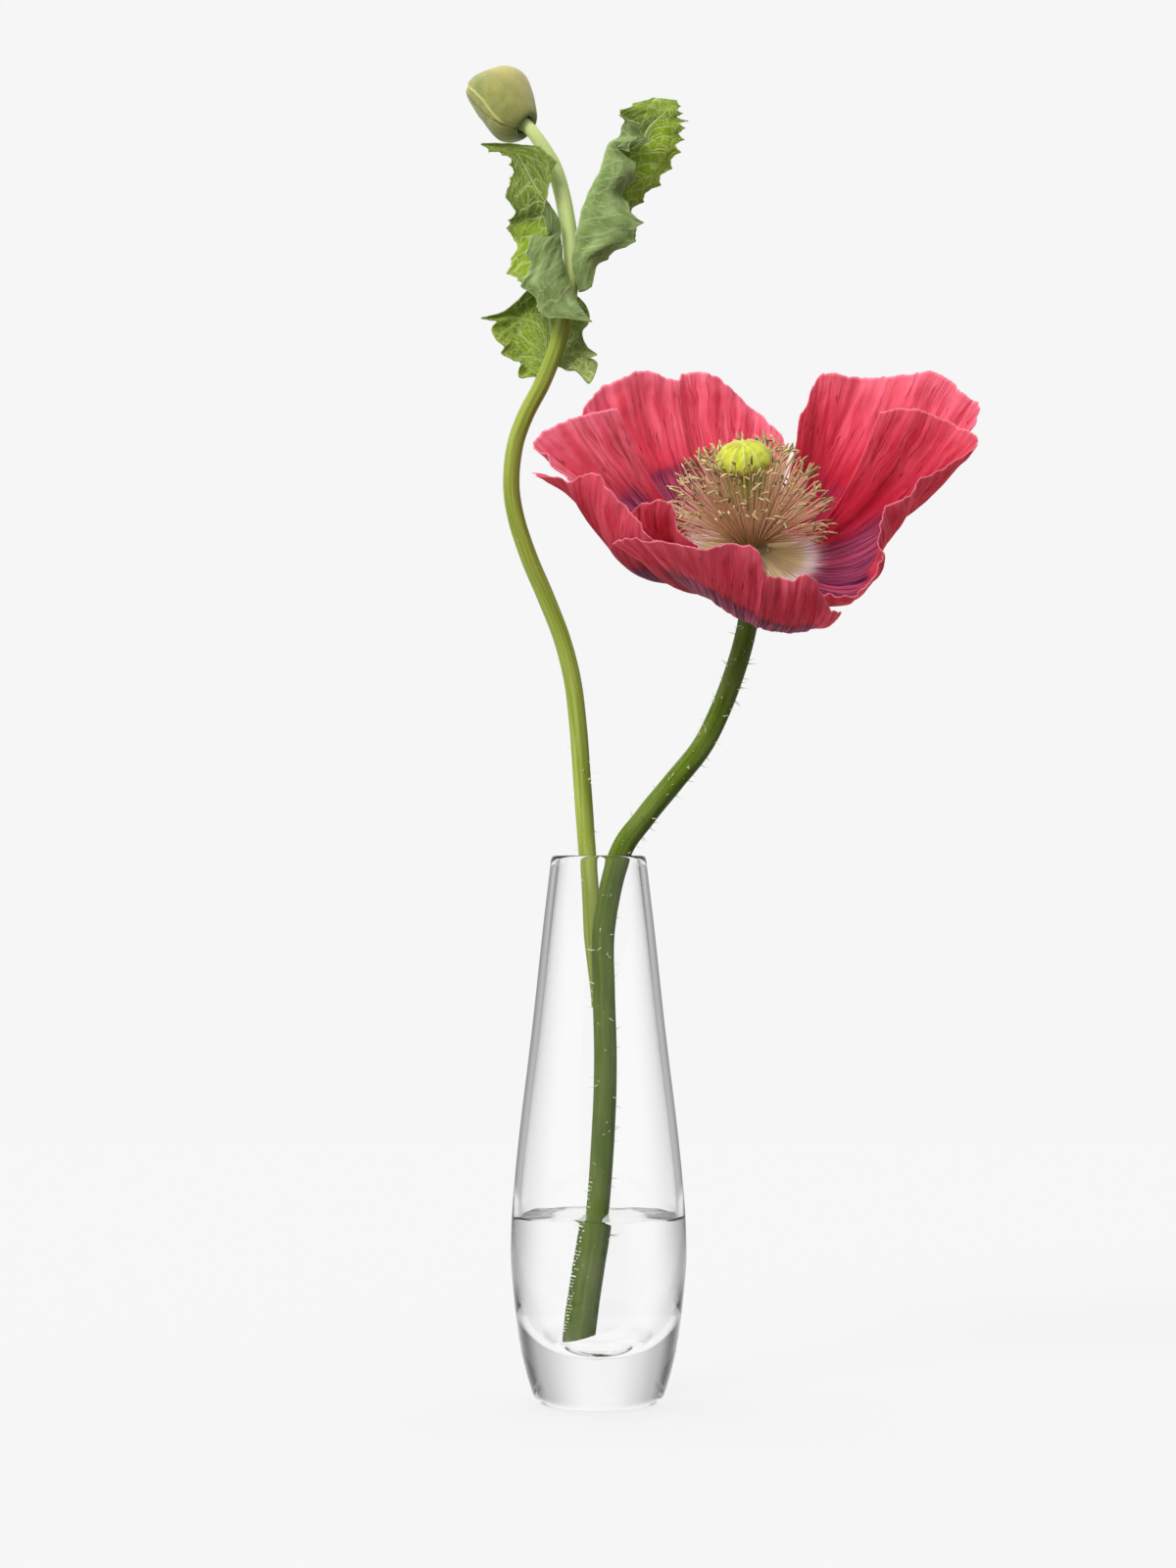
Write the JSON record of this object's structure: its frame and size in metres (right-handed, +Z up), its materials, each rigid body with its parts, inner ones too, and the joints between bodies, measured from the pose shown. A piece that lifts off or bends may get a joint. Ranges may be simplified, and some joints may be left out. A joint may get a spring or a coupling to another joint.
{
  "type": "poppy in bud vase",
  "caption": "Cut poppy standing in a clear glass bud vase: an open crumpled bloom on a curved stem, and a nodding bud above toothed, folded leaves.",
  "frame": {"origin": "middle of the vase's flat foot, where it stands", "axes": "+Z up along the vase's axis; -Y towards the viewer of the picture; +X to the right, the side the open bloom leans to"},
  "size_m": [0.1604, 0.0957, 0.4178],
  "materials": {
    "glass": "clear, smooth, thick at the bottom",
    "water": "clear water with a meniscus",
    "flower_stem": "dark green, with short pale hairs",
    "bud_stem": "pale yellow-green, waxy",
    "leaf": "blue-green bloom below, brighter yellow-green with pale veins above",
    "bud": "olive green, finely wrinkled",
    "petal": "crumpled, crimson to pink, darker at the base",
    "stamen": "pale filaments with tan anthers",
    "pistil": "yellow-green, waxy, ridged on top"
  },
  "bodies": {
    "root": {"vase": "glass", "water": "water", "flower_stem": "flower_stem", "bud_stem": "bud_stem", "bud_sepal_upper": "bud", "bud_sepal_lower": "bud", "leaf_right": "leaf", "leaf_left": "leaf", "leaf_lower": "leaf", "petal_back_left": "petal", "petal_back_right": "petal", "petal_left": "petal", "petal_front_left": "petal", "petal_inner": "petal", "petal_front": "petal", "petal_right": "petal", "stamens": "stamen", "pistil": "pistil"}
  },
  "joints": []
}
